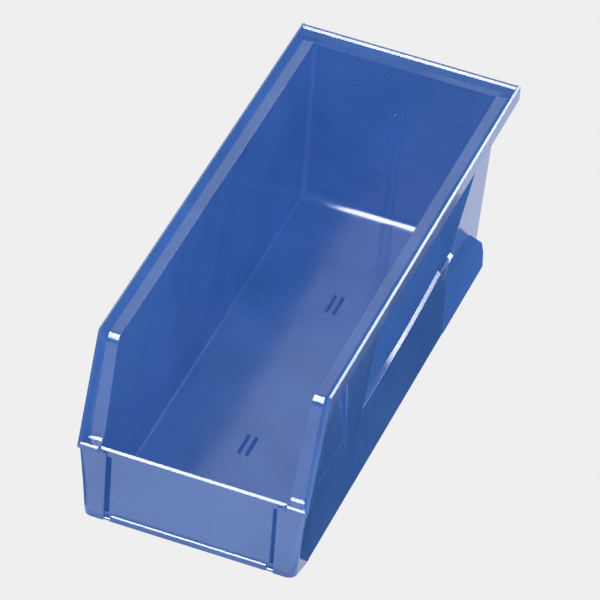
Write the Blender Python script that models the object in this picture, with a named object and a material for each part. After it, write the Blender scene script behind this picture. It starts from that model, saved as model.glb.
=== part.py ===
"""Hanging parts bin: one drafted plastic tub with a hopper front, stacking rims and a rear hanger lip.

Units are metres, +Z is up, the opening faces -Y and the hanger lip is at +Y.
Lengths along Y are measured from the foot of the front face; the parent empty moves the whole
bin so that its origin is at the bottom centre of its bounding box.
The real bin is one moulding.  Each moulded feature is its own closed solid here, and
neighbours keep a GAP between them.
"""
import bmesh
import bpy
import math

# Driving dimensions ---------------------------------------------------------------------------
RIM_HALF = 0.070          # half the outer width across the rims
RIM_TOP = 0.121           # overall height
LIP_REAR = 0.338          # rear face of the hanger hook
FRONT_LEAN = 0.002        # the front face leans forward by this much at its top
FRONT_TOP = 0.054         # height of the front corner caps
WALL = 0.0025             # wall thickness
GAP = 0.0003              # clearance between neighbouring solids

FLOOR_THICK = 0.003
FLOOR_HALF = 0.0555       # half width of the tub at the floor
TUB_TOP_HALF = 0.0583     # half width of the tub at the stacking ledge
BACK_FLOOR = 0.324        # tub length at the floor
BACK_TOP = 0.3288         # tub length at the rim
COVE = 0.0052             # radius of the cove along the rear of the floor
COVE_TRIM = 20            # degrees of the cove left off at its thin upper edge

LEDGE_TOP = 0.116         # stacking ledge level
UPSTAND_FOOT = 0.065      # where the ledge meets the upstand
UPSTAND_CREST = 0.0684    # inner edge of the upstand's top
RIM_SKIRT_FOOT = 0.110    # lower edge of the rim's outer skirt
RIM_SKIRT_IN = 0.0675

HOPPER_TOP_Y = 0.0205     # where the top rim turns down into the hopper rim
HOPPER_LEDGE_TOP_Y = 0.0232   # the hopper ledge's front face, level with the stacking ledge
HOPPER_LEDGE_FOOT_Y = 0.0055  # and where it lands on the corner cap
HOOK_THICK = 0.0018
HOOK_FOOT = 0.111

LABEL_HALF = 0.052        # half width of the recessed label panel
LABEL_DEPTH = 0.0015
CARD_HALF = 0.0492         # half width of the label face between the grooves beside it
CARD_LEDGE_TOP = 0.0045
LIP_HEIGHT = 0.0035       # height of the front lip above the label panel
LIP_HALF = 0.0567         # half length of the front lip, up to the corner caps
LIP_TOP = 0.0532

SKIRT_FOOT_X = 0.0646     # outer face of the lower skirt at the bottom
SKIRT_RISE_X = 0.0013     # how much wider it is at the level of the rim skirt
SKIRT_THICK = 0.002
SKIRT_TOP = 0.052
SKIRT_LEDGE = 0.0023
SKIRT_REAR = 0.242
PANEL_X = 0.0624          # outer face of the upper side panel
BRACE_BOTTOM_Y = 0.097    # slanted rear edge of the front brace, at SKIRT_TOP
BRACE_TOP_Y = 0.114       # and at the rim skirt
CHEEK_BOTTOM_Y = 0.070    # slanted rear edge of the front cheek, at SKIRT_TOP
CHEEK_TOP_Y = 0.058
DIAGONAL_BOTTOM_Y = 0.2536
DIAGONAL_TOP_Y = 0.302
FOOT_X = 0.0652
FOOT_CROWN = 0.0515
PANEL_DRAFT = 0.018       # sideways lean of the upper side panel
CHEEK_PROUD = 0.0006      # how far the cheek's foot stands outside the skirt
CHEEK_FLARE = 0.0026      # how far the cheek leans in towards the rim
GROOVE_DEPTH = 0.003      # depth of the grooves beside the label face, from the front face

RIB_OFFSET = 0.0024       # divider ribs stand this far either side of the centre line
RIB_WIDTH = 0.0012
RIB_HEIGHT = 0.0012
BACK_RIB_TOP = 0.082
FLOOR_RIB_LENGTH = 0.018
FLOOR_RIB_CENTRES = (0.093, 0.2345)

BLUE = (0.045, 0.115, 0.345, 1.0)
HOPPER_RUN = HOPPER_TOP_Y + FRONT_LEAN
HOPPER_SLOPE = HOPPER_RUN / (RIM_TOP - FRONT_TOP)
SLOPE_COS = math.cos(math.atan(HOPPER_SLOPE))


# Small tools ----------------------------------------------------------------------------------
def plastic():
    """The blue polypropylene that the whole bin is moulded from."""
    material = bpy.data.materials.new("blue_plastic")
    material.use_nodes = True
    shader = material.node_tree.nodes["Principled BSDF"]
    shader.inputs["Base Color"].default_value = BLUE
    shader.inputs["Roughness"].default_value = 0.34
    shader.inputs["Metallic"].default_value = 0.0
    return material


def add_node(name, bm, parent, material):
    """Turn a closed bmesh into a named object with outward faces."""
    bmesh.ops.recalc_face_normals(bm, faces=bm.faces)
    if bm.calc_volume(signed=True) < 0:
        bmesh.ops.reverse_faces(bm, faces=bm.faces)
    mesh = bpy.data.meshes.new(name)
    bm.to_mesh(mesh)
    bm.free()
    mesh.materials.append(material)
    node = bpy.data.objects.new(name, mesh)
    bpy.context.scene.collection.objects.link(node)
    node.parent = parent
    return node


def prism(outline, axis, low, high):
    """Extrude an outline along X or Y; its points are (y, z) for X and (x, z) for Y."""
    bm = bmesh.new()
    corners = []
    for first, second in outline:
        place = (low, first, second) if axis == "X" else (first, low, second)
        corners.append(bm.verts.new(place))
    cap = bm.faces.new(corners)
    grown = bmesh.ops.extrude_face_region(bm, geom=[cap])
    step = (high - low, 0, 0) if axis == "X" else (0, high - low, 0)
    moved = [item for item in grown["geom"] if isinstance(item, bmesh.types.BMVert)]
    bmesh.ops.translate(bm, vec=step, verts=moved)
    return bm


def skin(outline, outer_x, thickness, side, cuts=()):
    """A sheet standing over a (y, z) outline, its outer face following outer_x(y, z)."""
    bm = bmesh.new()
    bm.faces.new([bm.verts.new((0, y, z)) for y, z in outline])
    for point, normal in cuts:
        everything = bm.verts[:] + bm.edges[:] + bm.faces[:]
        bmesh.ops.bisect_plane(bm, geom=everything, plane_co=point, plane_no=normal, dist=1e-6)
    inner = bm.verts[:]
    grown = bmesh.ops.extrude_face_region(bm, geom=bm.faces[:])
    outer = [item for item in grown["geom"] if isinstance(item, bmesh.types.BMVert)]
    for vert in outer:
        vert.co.x = side * outer_x(vert.co.y, vert.co.z)
    for vert in inner:
        vert.co.x = side * (outer_x(vert.co.y, vert.co.z) - thickness)
    return bm


def soften(node, width, segments=2):
    """Round the moulded edges of a node."""
    bevel = node.modifiers.new("rounding", "BEVEL")
    bevel.width = width
    bevel.segments = segments
    bevel.limit_method = "ANGLE"
    bevel.angle_limit = math.radians(40)


def arc(centre, radius, start, end, steps):
    """Points of a circular arc in the outline's own plane, angles in degrees."""
    points = []
    for step in range(steps + 1):
        angle = math.radians(start + (end - start) * step / steps)
        points.append((centre[0] + radius * math.cos(angle), centre[1] + radius * math.sin(angle)))
    return points


# Faces that several features share --------------------------------------------------------------
def front_y(z):
    """Outer front face, which leans forward towards its top."""
    return -FRONT_LEAN * z / FRONT_TOP


def hopper_y(z, depth=0.0):
    """The hopper rim's front face, or a parallel face at a depth behind it."""
    return -FRONT_LEAN + (z - FRONT_TOP) * HOPPER_SLOPE + depth / SLOPE_COS


def hopper_ledge_y(z):
    """Front face of the hopper ledge, a little steeper than the rim in front of it."""
    rise = (z - FRONT_TOP) / (LEDGE_TOP - FRONT_TOP)
    return HOPPER_LEDGE_FOOT_Y + (HOPPER_LEDGE_TOP_Y - HOPPER_LEDGE_FOOT_Y) * rise


def hopper_under_y(z):
    """Rear face of the hopper ledge."""
    return hopper_ledge_y(z) + WALL


def back_y(z):
    """Inner face of the back wall."""
    return BACK_FLOOR + (BACK_TOP - BACK_FLOOR) * (z - FLOOR_THICK) / (RIM_TOP - FLOOR_THICK)


def tub_x(z):
    """Inner face of a side wall."""
    return FLOOR_HALF + (TUB_TOP_HALF - FLOOR_HALF) * (z - FLOOR_THICK) / (LEDGE_TOP - FLOOR_THICK)


def skirt_x(z):
    """Outer face of the lower skirt and the front brace."""
    return SKIRT_FOOT_X + SKIRT_RISE_X * z / RIM_SKIRT_FOOT


def brace_y(z):
    """Slanted rear edge of the front brace."""
    rise = (z - SKIRT_TOP) / (RIM_SKIRT_FOOT - SKIRT_TOP)
    return BRACE_BOTTOM_Y + (BRACE_TOP_Y - BRACE_BOTTOM_Y) * rise


def cheek_y(z):
    """Rear edge of the front cheek, the flared face beside the hopper."""
    rise = (z - SKIRT_TOP) / (RIM_SKIRT_FOOT - SKIRT_TOP)
    return CHEEK_BOTTOM_Y + (CHEEK_TOP_Y - CHEEK_BOTTOM_Y) * rise


def behind_front(z):
    """Where the tub's walls start, just behind the full depth of the front."""
    return front_y(z) + FRONT_DEPTH + GAP


UNDER_TOP = LEDGE_TOP - WALL
RIM_DEPTH = RIM_TOP - RIM_SKIRT_FOOT      # depth of the rim's outer skirt
CAP_BOTTOM = FRONT_TOP - LIP_HEIGHT
FRONT_DEPTH = LABEL_DEPTH + WALL          # full depth of the front face, panel wall included
POST_FLARE = 0.048                        # height where the post widens into the rim
POST_FOOT_X = 0.0612
POST_WAIST_X = 0.0673
SKIRT_BLEND_Y = 0.017                     # the skirt reaches its full width here
SHELF_BOTTOM = SKIRT_TOP - SKIRT_LEDGE
UPPER_END = RIM_SKIRT_FOOT - GAP


# The tub ----------------------------------------------------------------------------------------
def build_tub(parent, material):
    floor_front = behind_front(0)
    cove_front = BACK_FLOOR - COVE
    half = tub_x(0) - GAP
    section = [(-half, 0), (half, 0), (half, FLOOR_THICK), (-half, FLOOR_THICK)]
    floor = prism(section, "Y", floor_front, cove_front - GAP)
    add_node("floor_panel", floor, parent, material)

    cove_top = FLOOR_THICK + COVE
    hollow = arc((cove_front, cove_top), COVE, -COVE_TRIM, -90, 8)
    cove_end = hollow[0][1]
    cove = [(cove_front, 0), (back_y(0) - GAP, 0), (back_y(cove_end) - GAP, cove_end)]
    add_node("floor_cove", prism(cove + hollow, "X", -half, half), parent, material)

    low_half = tub_x(0) - GAP
    top_half = tub_x(UNDER_TOP) - GAP
    ear = UPSTAND_FOOT - GAP
    back = [(-low_half, 0), (low_half, 0), (top_half, UNDER_TOP), (ear, UNDER_TOP), (ear, RIM_TOP)]
    back += [(-ear, RIM_TOP), (-ear, UNDER_TOP), (-top_half, UNDER_TOP)]
    add_node("back_wall", upright_sheet(back, back_y, WALL), parent, material)

    under_cap = CAP_BOTTOM - GAP
    for side, label in ((-1, "left"), (1, "right")):
        outline = [(behind_front(0), 0), (back_y(0) + WALL, 0)]
        outline += [(back_y(UNDER_TOP) + WALL, UNDER_TOP - GAP)]
        outline += [(hopper_under_y(UNDER_TOP) + GAP, UNDER_TOP - GAP)]
        outline += [(hopper_under_y(FRONT_TOP) + GAP, FRONT_TOP)]
        outline += [(hopper_under_y(FRONT_TOP) + GAP, under_cap), (behind_front(under_cap), under_cap)]
        wall = skin(outline, lambda y, z: tub_x(z) + WALL, WALL, side)
        add_node("side_wall_" + label, wall, parent, material)


def upright_sheet(outline, near_y, thickness):
    """A sheet standing over an (x, z) outline, its inner face following near_y(z)."""
    bm = prism(outline, "Y", 0, 1)
    for vert in bm.verts:
        near = near_y(vert.co.z)
        vert.co.y = near + thickness if vert.co.y > 0.5 else near
    return bm


# The front ----------------------------------------------------------------------------------------
def build_front(parent, material):
    panel_top = CAP_BOTTOM - GAP
    panel_foot = CARD_LEDGE_TOP + GAP
    outline = [(-CARD_HALF, panel_foot), (CARD_HALF, panel_foot)]
    outline += [(CARD_HALF, panel_top), (-CARD_HALF, panel_top)]
    panel = upright_sheet(outline, lambda z: front_y(z) + LABEL_DEPTH, WALL)
    add_node("label_panel", panel, parent, material)

    lip_front = front_y(FRONT_TOP) + LABEL_DEPTH
    lip = [(lip_front, CAP_BOTTOM), (lip_front + WALL, CAP_BOTTOM)]
    lip += [(lip_front + WALL, LIP_TOP), (lip_front, LIP_TOP)]
    front_lip = add_node("front_lip", prism(lip, "X", -LIP_HALF, LIP_HALF), parent, material)
    soften(front_lip, 0.0008, 3)

    rest = [(front_y(0), 0), (front_y(0) + FRONT_DEPTH, 0)]
    top_y = front_y(CARD_LEDGE_TOP)
    rest += [(top_y + FRONT_DEPTH, CARD_LEDGE_TOP), (top_y, CARD_LEDGE_TOP)]
    card_ledge = add_node("card_ledge", prism(rest, "X", -CARD_HALF, CARD_HALF), parent, material)
    soften(card_ledge, 0.0006, 2)

    for side, label in ((-1, "left"), (1, "right")):
        lean = front_y(panel_top)
        groove = [(front_y(0) + GROOVE_DEPTH, 0), (front_y(0) + FRONT_DEPTH, 0)]
        groove += [(lean + FRONT_DEPTH, panel_top), (lean + GROOVE_DEPTH, panel_top)]
        edges = sorted((side * (CARD_HALF + GAP), side * (LABEL_HALF - GAP)))
        add_node("card_groove_" + label, prism(groove, "X", edges[0], edges[1]), parent, material)
        add_node("corner_post_" + label, corner_post(side), parent, material)
        add_node("corner_cap_" + label, corner_cap(side), parent, material)


def corner_post(side):
    """The flush upright beside the label panel, wider towards its top."""
    waist = CAP_BOTTOM - GAP
    outline = [(LABEL_HALF, 0), (POST_FOOT_X, 0), (POST_WAIST_X, POST_FLARE)]
    outline += [(RIM_HALF - 0.001, waist), (LABEL_HALF, waist)]
    bm = prism([(side * x, z) for x, z in outline], "Y", 0, FRONT_DEPTH)
    for vert in bm.verts:
        if vert.co.y > 0 and POST_FOOT_X <= abs(vert.co.x) <= POST_WAIST_X:
            vert.co.x = side * lower_x(vert.co.y, vert.co.z)
        vert.co.y += front_y(vert.co.z)
    return bm


def corner_cap(side):
    """The flat pad where the hopper rim lands on the front corner."""
    inner = side * (LIP_HALF + GAP)
    outer = side * RIM_HALF
    outline = [(inner, CAP_BOTTOM), (outer, CAP_BOTTOM), (outer, FRONT_TOP), (inner, FRONT_TOP)]
    return prism(outline, "Y", -FRONT_LEAN, hopper_under_y(FRONT_TOP))


# The rims --------------------------------------------------------------------------------------
def build_rims(parent, material):
    ledge_in = TUB_TOP_HALF
    ledge_out = UPSTAND_FOOT - GAP
    for side, label in ((-1, "left"), (1, "right")):
        ledge = [(hopper_ledge_y(LEDGE_TOP), LEDGE_TOP), (hopper_ledge_y(UNDER_TOP), UNDER_TOP)]
        ledge += [(back_y(UNDER_TOP) - GAP, UNDER_TOP), (back_y(LEDGE_TOP) - GAP, LEDGE_TOP)]
        edges = sorted((side * ledge_in, side * ledge_out))
        add_node("stacking_ledge_" + label, prism(ledge, "X", edges[0], edges[1]), parent, material)
        add_node("rim_upstand_" + label, rim_upstand(side), parent, material)
        add_node("hopper_ledge_" + label, hopper_ledge(side, ledge_out), parent, material)
        add_node("hopper_upstand_" + label, hopper_upstand(side), parent, material)


def rim_upstand(side):
    """The rim outside the stacking ledge, its front end cut to the hopper slope."""
    section = [(UPSTAND_CREST, RIM_TOP), (RIM_HALF, RIM_TOP), (RIM_HALF, RIM_SKIRT_FOOT)]
    section += [(RIM_SKIRT_IN, RIM_SKIRT_FOOT), (RIM_SKIRT_IN, UNDER_TOP)]
    section += [(UPSTAND_FOOT, UNDER_TOP), (UPSTAND_FOOT, LEDGE_TOP)]
    bm = prism([(side * x, z) for x, z in section], "Y", 0, LIP_REAR)
    for vert in bm.verts:
        if vert.co.y < HOPPER_TOP_Y:
            vert.co.y = hopper_y(vert.co.z)
    return bm


def hopper_ledge(side, outer):
    """The stacking ledge carried down the hopper slope."""
    low = FRONT_TOP + GAP
    high = UNDER_TOP - GAP
    bm = prism([(hopper_ledge_y(low), low), (hopper_under_y(low), low),
                (hopper_under_y(high), high), (hopper_ledge_y(high), high)], "X", 0, 1)
    for vert in bm.verts:
        vert.co.x = side * (outer if vert.co.x > 0.5 else tub_x(vert.co.z))
    return bm


def hopper_upstand(side):
    """The outer edge of the hopper rim: a bent section carried down the slope."""
    section = [(UPSTAND_CREST, "face"), (RIM_HALF, "face"), (RIM_HALF, "skirt"), (RIM_SKIRT_IN, "skirt")]
    section += [(RIM_SKIRT_IN, "under"), (UPSTAND_FOOT, "under"), (UPSTAND_FOOT, "ledge")]
    reach = {"face": hopper_y, "skirt": lambda z: hopper_y(z, RIM_DEPTH)}
    reach.update({"under": hopper_under_y, "ledge": hopper_ledge_y})
    bm = bmesh.new()
    rings = []
    for z in (FRONT_TOP + GAP, RIM_SKIRT_FOOT - GAP):
        rings.append([bm.verts.new((side * x, reach[kind](z), z)) for x, kind in section])
    count = len(section)
    bm.faces.new(rings[0])
    bm.faces.new(rings[1])
    for step in range(count):
        after = (step + 1) % count
        bm.faces.new((rings[0][step], rings[0][after], rings[1][after], rings[1][step]))
    return bm


def build_hanger(parent, material):
    front = back_y(RIM_TOP) + WALL + GAP
    under = RIM_TOP - WALL
    half = UPSTAND_FOOT - GAP
    rear = LIP_REAR - HOOK_THICK
    # The bearing face ends at the hook, which hangs from a slightly higher step.
    top = [(front, under), (rear - GAP, under), (rear - GAP, under + GAP), (LIP_REAR, under + GAP)]
    top += [(LIP_REAR, RIM_TOP), (front, RIM_TOP)]
    add_node("hanger_lip", prism(top, "X", -half, half), parent, material)
    hook = [(rear, HOOK_FOOT), (LIP_REAR, HOOK_FOOT), (LIP_REAR, under - GAP), (rear, under - GAP)]
    add_node("hanger_hook", prism(hook, "X", -half, half), parent, material)


# The sides -------------------------------------------------------------------------------------
def lower_x(y, z):
    """Outer face of the lower skirt, drawn in to the corner post at the front."""
    blend = min(1.0, max(0.0, y / SKIRT_BLEND_Y))
    post = POST_FOOT_X + (POST_WAIST_X - POST_FOOT_X) * z / POST_FLARE
    return post + (skirt_x(z) - post) * blend


def cheek_x(y, z):
    """Outer face of the front cheek, which flares out towards its foot."""
    flare = (z - SKIRT_TOP) / (RIM_SKIRT_FOOT - SKIRT_TOP)
    return skirt_x(SKIRT_TOP) + CHEEK_PROUD - CHEEK_FLARE * flare


def build_sides(parent, material):
    low_end = SHELF_BOTTOM - GAP
    wall_foot = tub_x(SKIRT_TOP) + WALL + GAP
    for side, label in ((-1, "left"), (1, "right")):
        lower = [(behind_front(0), 0), (SKIRT_REAR, 0)]
        lower += [(SKIRT_REAR, low_end), (behind_front(low_end), low_end)]
        cut = (((0, SKIRT_BLEND_Y, 0), (0, 1, 0)),)
        add_node("lower_skirt_" + label, skin(lower, lower_x, SKIRT_THICK, side, cut), parent, material)

        shelf = [(brace_y(SHELF_BOTTOM) + GAP, SHELF_BOTTOM), (SKIRT_REAR, SHELF_BOTTOM)]
        shelf += [(SKIRT_REAR, SKIRT_TOP), (brace_y(SKIRT_TOP) + GAP, SKIRT_TOP)]
        edges = sorted((side * wall_foot, side * skirt_x(SKIRT_TOP)))
        add_node("skirt_ledge_" + label, prism(shelf, "X", edges[0], edges[1]), parent, material)

        hopper_foot = hopper_under_y(FRONT_TOP) + GAP
        cheek = [(hopper_foot, SHELF_BOTTOM), (cheek_y(SHELF_BOTTOM) - GAP, SHELF_BOTTOM)]
        cheek += [(cheek_y(UPPER_END) - GAP, UPPER_END), (hopper_under_y(UPPER_END) + GAP, UPPER_END)]
        cheek += [(hopper_foot, FRONT_TOP)]
        add_node("front_cheek_" + label, skin(cheek, cheek_x, SKIRT_THICK, side), parent, material)

        brace = [(cheek_y(SHELF_BOTTOM), SHELF_BOTTOM), (brace_y(SHELF_BOTTOM), SHELF_BOTTOM)]
        brace += [(brace_y(UPPER_END), UPPER_END), (cheek_y(UPPER_END), UPPER_END)]
        plate = skin(brace, lambda y, z: skirt_x(z), SKIRT_THICK, side)
        add_node("front_brace_" + label, plate, parent, material)

        base = SKIRT_TOP + GAP
        panel = [(brace_y(base) + GAP, base), (DIAGONAL_BOTTOM_Y, base)]
        panel += [(DIAGONAL_TOP_Y, UPPER_END), (brace_y(UPPER_END) + GAP, UPPER_END)]
        add_node("side_panel_" + label, side_panel(panel, side), parent, material)

        crown = [(SKIRT_REAR + GAP, FOOT_CROWN), (0.253, FOOT_CROWN), (0.282, 0.046), (0.307, 0.022)]
        crown += [(0.311, 0.012), (0.312, 0)]
        foot = [(SKIRT_REAR + GAP, 0)] + crown
        plate = skin(foot, lambda y, z: FOOT_X, SKIRT_THICK, side)
        add_node("rear_foot_" + label, plate, parent, material)
        edges = sorted((side * wall_foot, side * (FOOT_X - SKIRT_THICK - GAP)))
        roof = prism(band(crown, SKIRT_THICK), "X", edges[0], edges[1])
        add_node("foot_crown_" + label, roof, parent, material)


def band(path, thickness):
    """Outline of a band of even thickness along a path, on the path's right-hand side."""
    inner = []
    for index, (y, z) in enumerate(path):
        before = path[max(index - 1, 0)]
        after = path[min(index + 1, len(path) - 1)]
        along = after[0] - before[0]
        rise = after[1] - before[1]
        length = math.hypot(along, rise)
        inner.append((y + thickness * rise / length, z - thickness * along / length))
    inner[-1] = (inner[-1][0], path[-1][1])
    inner[0] = (path[0][0], inner[0][1])
    return path + inner[::-1]


def side_panel(outline, side):
    """The upper side panel: a thickening on the outside of the side wall."""
    bm = prism(outline, "X", 0, 1)
    for vert in bm.verts:
        inner = tub_x(vert.co.z) + WALL + GAP
        outer = PANEL_X + (vert.co.z - SKIRT_TOP) * PANEL_DRAFT
        vert.co.x = side * (outer if vert.co.x > 0.5 else inner)
    return bm


# The divider ribs -----------------------------------------------------------------------------
def build_ribs(parent, material):
    for number, side in ((1, -1), (2, 1)):
        foot = FLOOR_THICK + COVE
        low = back_y(foot) - GAP
        high = back_y(BACK_RIB_TOP) - GAP
        outline = [(low - RIB_HEIGHT, foot), (low, foot)]
        outline += [(high, BACK_RIB_TOP), (high - RIB_HEIGHT, BACK_RIB_TOP)]
        middle = side * RIB_OFFSET
        rib = prism(outline, "X", middle - RIB_WIDTH / 2, middle + RIB_WIDTH / 2)
        add_node("back_rib_%d" % number, rib, parent, material)

    number = 0
    for centre in FLOOR_RIB_CENTRES:
        for side in (-1, 1):
            number += 1
            middle = side * RIB_OFFSET
            base = FLOOR_THICK + GAP
            half = FLOOR_RIB_LENGTH / 2
            crest = half - RIB_HEIGHT
            outline = [(centre - half, base), (centre + half, base)]
            outline += [(centre + crest, base + RIB_HEIGHT), (centre - crest, base + RIB_HEIGHT)]
            rib = prism(outline, "X", middle - RIB_WIDTH / 2, middle + RIB_WIDTH / 2)
            add_node("floor_rib_%d" % number, rib, parent, material)


def main():
    for item in list(bpy.data.objects):
        bpy.data.objects.remove(item, do_unlink=True)
    origin = bpy.data.objects.new("bin_origin", None)
    bpy.context.scene.collection.objects.link(origin)
    origin.location = (0, -(LIP_REAR - FRONT_LEAN) / 2, 0)
    material = plastic()
    build_tub(origin, material)
    build_front(origin, material)
    build_rims(origin, material)
    build_hanger(origin, material)
    build_sides(origin, material)
    build_ribs(origin, material)
    bpy.context.view_layer.update()


main()
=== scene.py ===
"""Looks of the hanging parts bin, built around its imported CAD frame.

Everything is in metres in the CAD frame: +Z up, the opening faces -Y, the hanger lip is at +Y.
The main heights, widths and lengths come from the CAD nodes' own boxes; radii, chamfers and the
relief of the sides are given here.
"""
import math

import bmesh
import bpy
from mathutils import Matrix, Quaternion, Vector


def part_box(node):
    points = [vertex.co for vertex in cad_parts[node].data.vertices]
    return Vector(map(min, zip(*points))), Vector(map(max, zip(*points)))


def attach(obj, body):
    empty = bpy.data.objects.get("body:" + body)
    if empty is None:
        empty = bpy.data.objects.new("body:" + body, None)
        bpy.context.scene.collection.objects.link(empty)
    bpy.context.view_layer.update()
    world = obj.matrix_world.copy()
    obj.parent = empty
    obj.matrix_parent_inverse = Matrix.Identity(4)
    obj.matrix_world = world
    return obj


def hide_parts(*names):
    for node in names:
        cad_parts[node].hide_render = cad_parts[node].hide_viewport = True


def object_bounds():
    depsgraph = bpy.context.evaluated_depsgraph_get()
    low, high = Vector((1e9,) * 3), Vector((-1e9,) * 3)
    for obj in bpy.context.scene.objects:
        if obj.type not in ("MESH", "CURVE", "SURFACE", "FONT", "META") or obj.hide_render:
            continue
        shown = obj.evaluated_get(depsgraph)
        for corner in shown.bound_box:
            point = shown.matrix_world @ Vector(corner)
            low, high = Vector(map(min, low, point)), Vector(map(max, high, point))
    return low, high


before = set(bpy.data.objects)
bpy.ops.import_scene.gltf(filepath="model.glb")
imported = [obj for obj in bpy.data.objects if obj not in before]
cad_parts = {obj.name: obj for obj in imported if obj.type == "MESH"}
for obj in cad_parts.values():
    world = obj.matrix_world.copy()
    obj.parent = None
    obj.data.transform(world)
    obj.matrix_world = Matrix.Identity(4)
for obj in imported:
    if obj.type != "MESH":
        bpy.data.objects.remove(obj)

CAD_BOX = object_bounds()
MM = 0.001
SIDES = ((-1, "left"), (1, "right"))


def low(node):
    """The least x, y and z of a CAD node."""
    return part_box(node)[0]


def high(node):
    """The greatest x, y and z of a CAD node."""
    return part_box(node)[1]


def line(z0, v0, z1, v1):
    """The straight line through two (height, value) points."""
    return lambda z: v0 + (v1 - v0) * (z - z0) / (z1 - z0)


# Places read from the CAD frame -----------------------------------------------------------------
WALL = 2.5 * MM
RIM_HALF = high("rim_upstand_right").x
RIM_TOP = high("rim_upstand_right").z
REAR = high("rim_upstand_right").y
RIM_FOOT = low("rim_upstand_right").z
UPSTAND_FOOT = low("rim_upstand_right").x
UPSTAND_CREST = UPSTAND_FOOT + 3.4 * MM
LEDGE_TOP = high("stacking_ledge_right").z
LEDGE_UNDER = low("stacking_ledge_right").z
LEDGE_IN = low("stacking_ledge_right").x
FRONT_TOP = high("corner_cap_right").z
FRONT_FACE = low("corner_cap_right").y
CAP_UNDER = low("corner_cap_right").z
CAP_REAR = high("corner_cap_right").y
LIP_END = high("front_lip").x
PANEL_HALF = high("label_panel").x
POST_IN = low("corner_post_right").x
CARD_TOP = high("card_ledge").z
FLOOR_TOP = high("floor_panel").z
BACK_FOOT = low("back_wall").y
BACK_TOP = high("back_wall").y - WALL
COVE_START = low("floor_cove").y
LABEL_DEPTH = 1.5 * MM
FRONT_DEPTH = LABEL_DEPTH + WALL
FOOT_Y = high("card_ledge").y - FRONT_DEPTH
SKIRT_REAR = high("lower_skirt_right").y
SHELF_TOP = high("skirt_ledge_right").z
SHELF_UNDER = low("skirt_ledge_right").z
SKIRT_X = high("skirt_ledge_right").x
UPPER_END = high("side_panel_right").z

front_y = line(0.0, FOOT_Y, FRONT_TOP, FRONT_FACE)
hopper_y = line(FRONT_TOP, FRONT_FACE, RIM_FOOT, low("rim_upstand_right").y)
ledge_y = line(low("hopper_ledge_right").z, low("hopper_ledge_right").y,
               LEDGE_UNDER, low("stacking_ledge_right").y)
back_y = line(0.0, BACK_FOOT, RIM_TOP, BACK_TOP)
tub_x = line(0.0, low("side_wall_right").x, LEDGE_TOP, LEDGE_IN)


# Mesh tools --------------------------------------------------------------------------------------
CREASE = math.radians(38)
FACE_WEIGHT = 80


def rounded(corners, steps=5):
    """Points of a closed polygon whose (u, v, radius) corners are rounded."""
    points = []
    count = len(corners)
    for index, (u, v, radius) in enumerate(corners):
        here = Vector((u, v))
        before = Vector(corners[index - 1][:2]) - here
        after = Vector(corners[(index + 1) % count][:2]) - here
        if radius <= 0:
            points.append(here)
            continue
        before.normalize()
        after.normalize()
        half = before.angle(after) / 2
        centre = here + (before + after).normalized() * (radius / math.sin(half))
        start = here + before * (radius / math.tan(half)) - centre
        end = here + after * (radius / math.tan(half)) - centre
        turn = math.atan2(start.x * end.y - start.y * end.x, start.dot(end))
        for step in range(steps + 1):
            angle = turn * step / steps
            points.append(centre + Matrix.Rotation(angle, 2) @ start)
    return points


def loft(rings, first=True, last=True):
    """A skin through rings of points, closed at the ends that are asked for."""
    bm = bmesh.new()
    rows = [[bm.verts.new(point) for point in ring] for ring in rings]
    count = len(rows[0])
    for row, after in zip(rows, rows[1:]):
        for here in range(count):
            there = (here + 1) % count
            bm.faces.new((row[here], row[there], after[there], after[here]))
    if first:
        bm.faces.new(rows[0][::-1])
    if last:
        bm.faces.new(rows[-1])
    bmesh.ops.recalc_face_normals(bm, faces=bm.faces)
    return bm


def grid(rows):
    """An open sheet through rows of points."""
    bm = bmesh.new()
    made = [[bm.verts.new(point) for point in row] for row in rows]
    for row, after in zip(made, made[1:]):
        for here in range(len(row) - 1):
            bm.faces.new((row[here], row[here + 1], after[here + 1], after[here]))
    return bm


def plate(outline, inner, outer):
    """A slab over a (y, z) outline between the inner and outer x of each point."""
    return loft([[(inner(y, z), y, z) for y, z in outline], [(outer(y, z), y, z) for y, z in outline]])


def facing_up(bm):
    """Turns a sheet's faces so that the first one looks up."""
    bmesh.ops.recalc_face_normals(bm, faces=bm.faces)
    if bm.faces[:][0].normal.z < 0:
        bmesh.ops.reverse_faces(bm, faces=bm.faces)
    return bm


def drawn_out(section, places):
    """A loft of one (y, z) section at each of these x places."""
    return loft([[(x, y, z) for y, z in section] for x in places])


def mirrored(bm, side):
    """The same mesh on the side asked for; it is made on the right."""
    if side < 0:
        bmesh.ops.scale(bm, vec=(-1, 1, 1), verts=bm.verts)
        bmesh.ops.reverse_faces(bm, faces=bm.faces)
    return bm


def piece(name, bm, nodes, bevel=0.0, segments=3, thickness=0.0, rim=True, material=None):
    """Makes the visible piece that stands for these CAD nodes."""
    mesh = bpy.data.meshes.new(name)
    bm.to_mesh(mesh)
    bm.free()
    mesh.shade_smooth()
    mesh.materials.append(material or PLASTIC)
    made = bpy.data.objects.new(name, mesh)
    bpy.context.scene.collection.objects.link(made)
    if thickness:
        wall = made.modifiers.new("wall", "SOLIDIFY")
        wall.thickness = thickness
        wall.offset = -1
        wall.use_even_offset = True
        wall.use_rim = rim
    if bevel:
        soft = made.modifiers.new("moulded_edges", "BEVEL")
        soft.width = bevel
        soft.segments = segments
        soft.limit_method = "ANGLE"
        soft.angle_limit = CREASE
        soft.harden_normals = False
    crease = made.modifiers.new("creases", "EDGE_SPLIT")
    crease.split_angle = CREASE
    crease.use_edge_sharp = False
    flat = made.modifiers.new("even_shading", "WEIGHTED_NORMAL")
    flat.keep_sharp = True
    flat.weight = FACE_WEIGHT
    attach(made, "root")
    if nodes:
        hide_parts(*nodes)
    return made


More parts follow.
